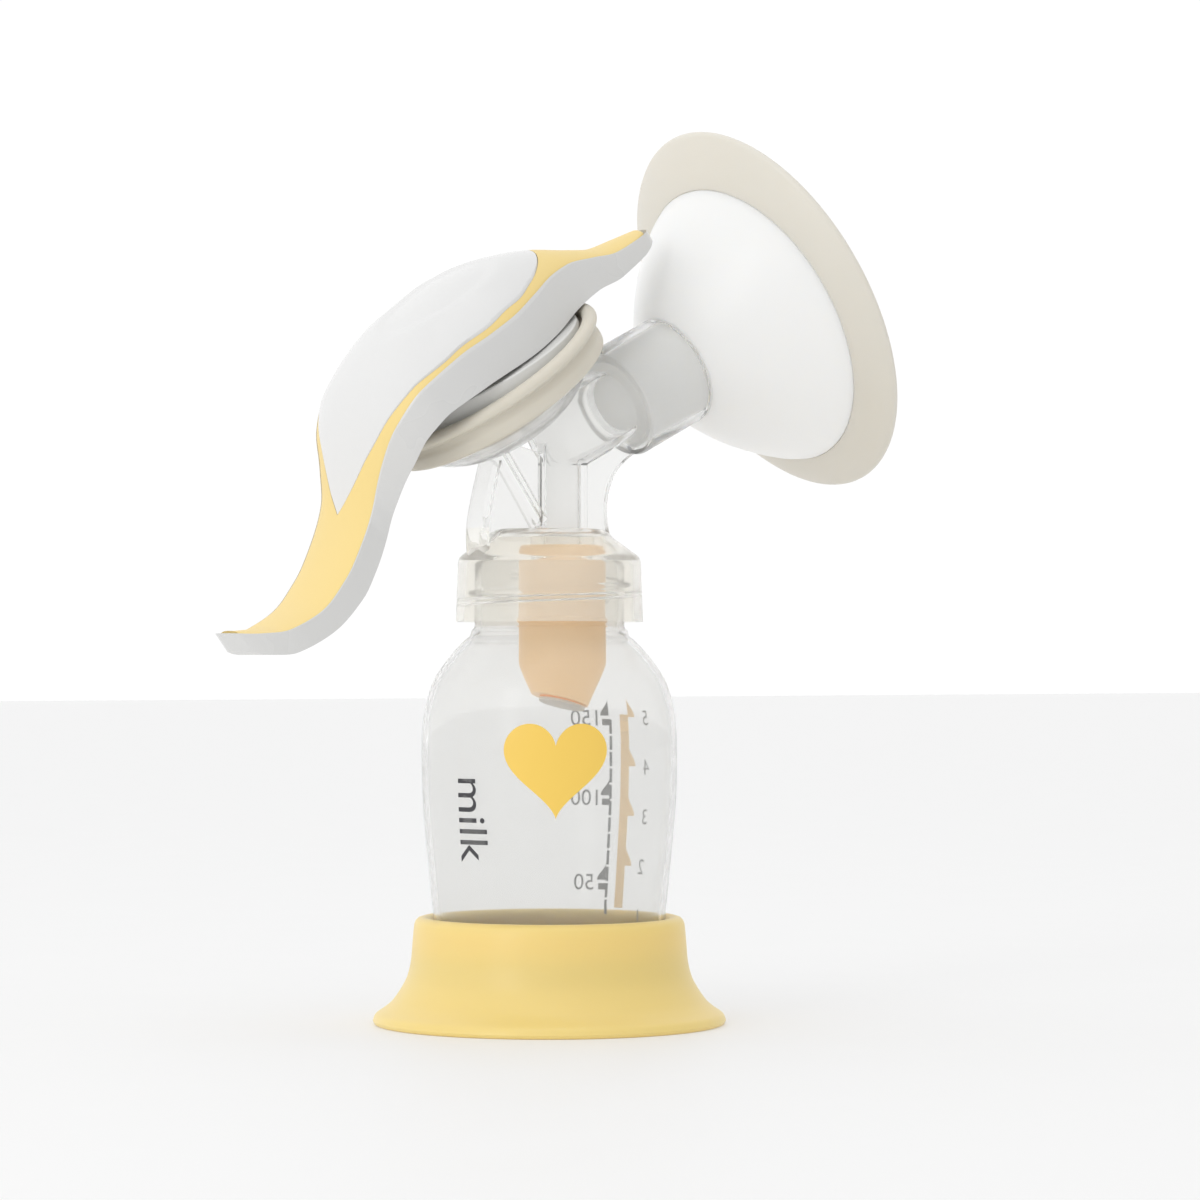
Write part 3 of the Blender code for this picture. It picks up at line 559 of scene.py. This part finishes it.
half_width = curve_through((
    (-87, 7.9), (-78, 11.0), (-66, 11.8), (-54, 12.0), (-47, 12.2), (-41, 14.5), (-34, 19.2),
    (-26, 22.6), (-14, 24.0), (0, 23.0), (12, 19.2), (24, 13.4), (36, 9.2), (47, 6.8),
    (52, 5.6),
))
edge_height = curve_through((
    (-90.5, 1.2), (-85.7, -2.5), (-80, -5.6), (-72, -6.7), (-63, -4.6), (-55.4, -0.9),
    (-47.6, 4.3), (-41.4, 10.8), (-35, 16.8), (-26.4, 20.4), (-15.3, 20.9), (-5, 19.9),
    (5.6, 19.3), (17, 19.4), (27, 18.3), (36.4, 14.7), (43, 11.8), (49, 10.7), (57, 9.7),
))
crown_height = curve_through((
    (-90.5, 1.9), (-85.7, -1.6), (-80, -4.5), (-72, -5.4), (-63, -3.2), (-55.4, 0.8),
    (-50, 5.0), (-46, 9.4), (-40, 16.4), (-34, 22.4), (-28, 27.0), (-20, 30.6), (-11, 32.4),
    (0, 32.6), (8, 31.6), (17, 28.8), (26, 24.6), (35, 18.6), (42, 14.4), (49, 12.4),
    (57, 10.4),
))
underside = curve_through((
    (-90.5, -3.6), (-86, -8.2), (-81.4, -10.9), (-71.6, -12.2), (-62.4, -10.7), (-55.5, -7.5),
    (-49.5, -3.6), (-43, 1.8), (-37.4, 6.5), (-30.8, 11.1), (-23.9, 12.7), (-13.7, 12.2),
    (0, 10.6), (11.7, 9.6), (21.9, 9.3), (31.9, 8.4), (41.3, 6.4), (50.1, 6.2), (57, 7.4),
))
panel_half_width = curve_through((
    (-50.5, 0.0), (-47, 4.2), (-42, 9.0), (-35, 15.4), (-27, 20.2), (-16, 22.3), (-6, 21.9),
    (6, 19.6), (14, 16.2), (20, 12.2), (24.5, 7.2), (27, 0.0),
))
LONG_END, SHORT_END = -90.4, 57.0
GRIP_DEPTH = 2.0
SHELL_WALL = 1.8


def outline_half_width(station, inset=0.0):
    """Half the handle's width, with both its ends rounded off."""
    width = half_width(station)
    for end, reach in ((LONG_END, 5.5), (SHORT_END, 6.0)):
        away = abs(station - end) - inset
        if away < reach:
            width *= math.sqrt(max(1 - (1 - max(away, 0) / reach) ** 2, 0))
    return max(width - inset * 0.5, 0.02)


def skin_height(station, across):
    edge = edge_height(station)
    bulge = max(1 - abs(across) ** 2.2, 0) ** 0.8
    return edge + (crown_height(station) - edge) * bulge


def panel_height(station, across):
    """The cover's skin, with the shallow oval rest for a thumb."""
    away = math.hypot((station + 2) / 17, (across * outline_half_width(station) + 4) / 10.5)
    share = min(max((1.08 - away) / 0.3, 0), 1)
    return skin_height(station, across) - 0.8 * share * share * (3 - 2 * share)


def layer_depth(across):
    return 0.8 + (GRIP_DEPTH - 0.8) * (1 - abs(across) ** 4)


def handle_solid(first, last, top, bottom, inset=0.0, columns=150, rows=48):
    """A closed solid between two heights over the handle's outline."""
    def upper(u, v):
        station = first + (last - first) * (1 - math.cos(math.pi * u)) / 2
        across = math.sin(math.pi * (v - 0.5))
        width = outline_half_width(station, inset)
        return Vector((station, width * across, top(station, across)))

    def lower(point):
        across = point.y / outline_half_width(point.x, inset)
        return Vector((point.x, point.y, bottom(point.x, max(-1, min(1, across)))))

    return thickened(lattice(columns, rows, upper), lower)


def panel_prism(grow):
    first, last = -50.5, 27.0
    middle, reach = (first + last) / 2, (last - first) / 2
    count = 72
    outline = []
    for k in range(2 * count):
        share = math.cos(math.pi * k / count)
        side = 1 if k <= count else -1
        width = panel_half_width(middle + reach * share) + grow * math.sqrt(1 - share ** 2)
        outline.append((middle + (reach + grow) * share, side * width))
    shape = bmesh.new()
    points = []
    for x, y in outline:
        if not points or (points[-1].co - Vector((x, y, 0))).length > 0.02:
            points.append(shape.verts.new((x, y, 0)))
    if (points[0].co - points[-1].co).length < 0.02:
        shape.verts.remove(points.pop())
    face = shape.faces.new(points)
    grown = bmesh.ops.extrude_face_region(shape, geom=[face])["geom"]
    raised = [item for item in grown if isinstance(item, bmesh.types.BMVert)]
    bmesh.ops.translate(shape, vec=(0, 0, 60), verts=raised)
    bmesh.ops.translate(shape, vec=(0, 0, -20), verts=shape.verts)
    return cleaned(shape)


def make_handle():
    deck = handle_solid(
        LONG_END, SHORT_END,
        lambda s, a: skin_height(s, a) - (layer_depth(a) + 0.15 if abs(a) < 0.97 else 0.05),
        lambda s, a: underside(s))
    cavity = handle_solid(
        -84, 50, lambda s, a: skin_height(s, a * 0.94) - layer_depth(a) - SHELL_WALL,
        lambda s, a: underside(s) - 12, inset=SHELL_WALL * 2, columns=90, rows=24)
    shell = carved("shell", (deck, seat_place), [("DIFFERENCE", cavity, seat_place)])
    piece("handle_body", shell, handle_white, "handle", "white_plastic", "handle_shell", sharp=40)
    layer = dict(top=skin_height, bottom=lambda s, a: skin_height(s, a) - layer_depth(a))
    grip = carved("grip", (handle_solid(LONG_END + 2, SHORT_END - 2, inset=0.9, **layer),
                           seat_place), [("DIFFERENCE", panel_prism(0.12), seat_place)])
    piece("handle_grip", grip, grip_yellow, "handle", "yellow_soft_grip", "handle_soft_grip",
          sharp=40)
    layer["top"] = panel_height
    panel = carved("panel", (handle_solid(-60, 40, columns=180, rows=72, **layer), seat_place),
                   [("INTERSECT", panel_prism(0), seat_place)])
    piece("handle_panel", panel, panel_white, "handle", "white_plastic", "handle_top_panel",
          sharp=40)


HUB_SLOPE = 0.078


def make_hub():
    outline = [
        (23.5, 7.0), (23.8, 6.8), (25.0, 6.8), (25.3, 7.1), (25.3, 9.7), (25.0, 10.0),
        (17.7, 10.0), (17.7, 20.0), (16.1, 20.0), (16.1, 8.4), (23.5, 8.4),
    ]
    shape = turned(outline, 160, closed=True)
    for point in shape.verts:
        if 8.0 < point.co.z < 12:
            point.co.z -= HUB_SLOPE * point.co.x
    mesh = as_mesh("hub", shape, seat_place)
    piece("hub_ring", mesh, hub_grey, "handle", "hub_plastic", "handle_hub")


# Shield.

def make_cone():
    bell = flowing([
        (13.4, 7.8), (16.2, 9.9), (19.4, 12.5), (25.4, 18.4), (30.4, 24.5), (33.8, 29.4),
        (35.4, 32.4),
    ], 8)
    wall = 1.5
    inner = inward(bell, wall)
    inner = [point for point in inner if point[0] > 10.6]
    outline = [
        (10.1, -10.0), (11.3, -10.0), (11.6, -9.6), (11.6, 7.8), *bell, (35.3, 33.0),
        (34.9, 33.2), *inner[::-1], (10.3, 9.4), (10.1, 8.6),
    ]
    mesh = as_mesh("cone", turned(outline, 160, closed=True), shield_place)
    piece("shield_bell", mesh, cone_milky_painted_glow, "shield", "milky_plastic", "shield_cone")


RIM_LONG, RIM_SHORT = 45.6, 42.4
RIM_SHIFT, RIM_FORWARD = 1.3, 1.4
RIM_START = 35.6
RIM_TURN = -10


def make_soft_rim():
    outer = flowing([
        (35.6, 32.6), (37.4, 33.5), (40.0, 35.2), (42.3, 37.0), (44.0, 38.6), (44.6, 39.3),
        (44.9, 40.0), (44.6, 40.6), (44.0, 40.7), (43.2, 40.1),
    ], 6)
    inner = flowing([(42.0, 38.6), (39.4, 36.4), (36.6, 34.5), (34.6, 33.6)], 6)
    shape = turned(outer + inner, 160, closed=True)
    mean = (RIM_LONG + RIM_SHORT) / 2
    for point in shape.verts:
        radius = math.hypot(point.co.x, point.co.y)
        share = max((radius - RIM_START) / (mean - RIM_START), 0)
        point.co.x *= 1 + share * (RIM_LONG / mean - 1)
        point.co.y *= 1 + share * (RIM_SHORT / mean - 1)
        point.co.x -= share * RIM_SHIFT
        point.co.z -= share * RIM_FORWARD
    turn = Matrix.Rotation(math.radians(RIM_TURN), 4, "Z")
    mesh = as_mesh("soft_rim", shape, shield_place @ turn)
    piece("shield_cushion", mesh, rim_silicone, "shield", "ivory_silicone", "shield_soft_rim")


# Marks on the bottle, each a thin film on its outside.

def on_bottle(shape, facing, lift=0.06):
    """Wraps flat work round the bottle: x runs round it and z is the height above the table."""
    for point in shape.verts:
        radius = bottle_radius(point.co.z - bottle_base) + lift
        angle = math.radians(facing) + point.co.x / radius
        point.co = Vector((radius * math.cos(angle), radius * math.sin(angle), point.co.z))
    return shape


def bar(x, z, width, height):
    return lattice(4, 8, lambda u, v: Vector((x + (u - 0.5) * width, 0, z + (v - 0.5) * height)))


def half_drop(x, z, width, height):
    """Half a bell: flat towards the scale's line, and swelling away from it near its mark."""
    def place(u, v):
        swell = math.sin(math.pi * v / 2) ** 2
        return Vector((x - u * width * swell, 0, z + (1 - v) * height))
    return lattice(6, 16, place)


def heart(x, z, size):
    def place(u, v):
        turn = math.tau * u
        across = math.sin(turn) ** 3
        up = (13 * math.cos(turn) - 5 * math.cos(2 * turn) - 2 * math.cos(3 * turn)
              - math.cos(4 * turn)) / 16
        return Vector((x + size / 2 * across * v, 0, z + size / 2 * (up * v + 0.1)))
    return lattice(72, 12, place)


def words(text, size, upside=0.0):
    """Flat letters as a mesh in the XZ plane, centred, turned about Y by the angle."""
    curve = bpy.data.curves.new("words", "FONT")
    curve.body = text
    curve.size = size
    curve.align_x = "CENTER"
    curve.align_y = "CENTER"
    lettering = bpy.data.objects.new("words", curve)
    bpy.context.scene.collection.objects.link(lettering)
    mesh = bpy.data.meshes.new_from_object(
        lettering.evaluated_get(bpy.context.evaluated_depsgraph_get()))
    bpy.data.objects.remove(lettering, do_unlink=True)
    shape = bmesh.new()
    shape.from_mesh(mesh)
    bmesh.ops.transform(shape, matrix=Matrix.Rotation(math.radians(90), 4, "X"),
                        verts=shape.verts)
    bmesh.ops.transform(shape, matrix=Matrix.Rotation(math.radians(upside), 4, "Y"),
                        verts=shape.verts)
    return shape


def at(shape, x, z):
    bmesh.ops.translate(shape, vec=(x, 0, z), verts=shape.verts)
    return shape


def gathered(shapes):
    """Several flat shapes as one."""
    whole = bmesh.new()
    for shape in shapes:
        mesh = bpy.data.meshes.new("part")
        shape.to_mesh(mesh)
        shape.free()
        whole.from_mesh(mesh)
    return whole


def make_marks():
    fifties = ((70.8, "150"), (51.7, "100"), (31.6, "50"))
    step = 3.9
    grey = [bar(0, 25.6 + step * k, 0.75, step - 0.5) for k in range(12)]
    orange = [bar(0, 48.5, 2.6, 46)]
    for height, _ in fifties:
        grey.append(half_drop(0.4, height + 0.35, -2.3, 4.2))
        grey.append(bar(1.2, height - 1.2, 2.2, 1.5))
    for height in (70.6, 58.8, 47.0, 35.2):
        orange.append(half_drop(-1.2, height + 0.3, 2.2, 5.0))
    small = [at(words(str(5 - k), 5.2), 0, 70.6 - 11.8 * k) for k in range(5)]
    for name, shapes, material, facing in (
        ("scale_ml", grey, ink_grey, 27.0),
        ("scale_ml_numbers", [at(words(text, 5.4), 0, height - 0.4) for height, text in fifties],
         ink_grey, 39.5),
        ("scale_oz", orange, ink_orange_painted_glow, 19.0),
        ("scale_oz_numbers", small, ink_pale, 4.5),
        ("word", [at(words("milk", 11.5, 90), 0, 48.5)], ink_dark, -160.5),
        ("heart", [heart(0, 60.0, 24.0)], ink_yellow, -120.0),
    ):
        mesh = as_mesh(name, on_bottle(gathered(shapes), facing), upright)
        piece("bottle_" + name, mesh, material, "bottle")


# Room, light and camera.

def make_room():
    floor = bmesh.new()
    bmesh.ops.create_grid(floor, x_segments=1, y_segments=1, size=6)
    mesh = bpy.data.meshes.new("floor")
    floor.to_mesh(mesh)
    floor.free()
    made = bpy.data.objects.new("floor", mesh)
    bpy.context.scene.collection.objects.link(made)
    mesh.materials.append(finish("floor_white", (0.64, 0.64, 0.64), 0.6,
                                 Emission_Color=(1, 1, 1, 1), Emission_Strength=0.24))
    world = bpy.data.worlds.new("studio")
    bpy.context.scene.world = world
    world.use_nodes = True
    nodes, links = world.node_tree.nodes, world.node_tree.links
    where = nodes.new("ShaderNodeTexCoord")
    side = nodes.new("ShaderNodeVectorMath")
    side.operation = "DOT_PRODUCT"
    side.inputs[1].default_value = (-0.50, 0.75, 0.43)
    ramp = nodes.new("ShaderNodeMapRange")
    ramp.interpolation_type = "SMOOTHSTEP"
    ramp.inputs["From Min"].default_value = -0.75
    ramp.inputs["From Max"].default_value = 0.3
    ramp.inputs["To Min"].default_value = 0.64
    ramp.inputs["To Max"].default_value = 1.02
    links.new(where.outputs["Generated"], side.inputs[0])
    links.new(side.outputs["Value"], ramp.inputs["Value"])
    links.new(ramp.outputs["Result"], nodes["Background"].inputs["Strength"])
    nodes["Background"].inputs["Color"].default_value = (1, 1, 1, 1)


def add_light(name, place, aim, size, power):
    data = bpy.data.lights.new(name, "AREA")
    data.shape = "RECTANGLE"
    data.size, data.size_y = size
    data.energy = power
    made = bpy.data.objects.new(name, data)
    bpy.context.scene.collection.objects.link(made)
    made.location = place
    made.rotation_euler = (Vector(aim) - Vector(place)).to_track_quat("-Z", "Y").to_euler()


def add_camera():
    data = bpy.data.cameras.new("camera")
    data.lens = 120
    data.sensor_width = 36
    data.shift_y = 0.0458
    data.clip_start = 0.01
    made = bpy.data.objects.new("camera", data)
    bpy.context.scene.collection.objects.link(made)
    made.location = (-0.5035, -0.7820, 0.0856)
    made.rotation_euler = (math.radians(90), 0, math.radians(-33.5))
    bpy.context.scene.camera = made


make_stand()
make_bottle()
make_marks()
make_connector()
make_valve()
make_diaphragm_rim()
make_membrane()
make_handle()
make_hub()
make_cone()
make_soft_rim()
for node, material in (("diaphragm_stem", stem_white), ("stem_o_ring", silicone)):
    frame["nodes"][node].data.materials.clear()
    frame["nodes"][node].data.materials.append(material)
make_room()
add_light("key", (-0.95, -0.35, 0.45), (0, 0, 0.1), (0.3, 0.7), 1.35)
add_light("top", (-0.1, -0.1, 1.1), (0, 0, 0.1), (0.6, 0.6), 0.4)
add_camera()
bpy.context.scene.view_settings.view_transform = "Standard"
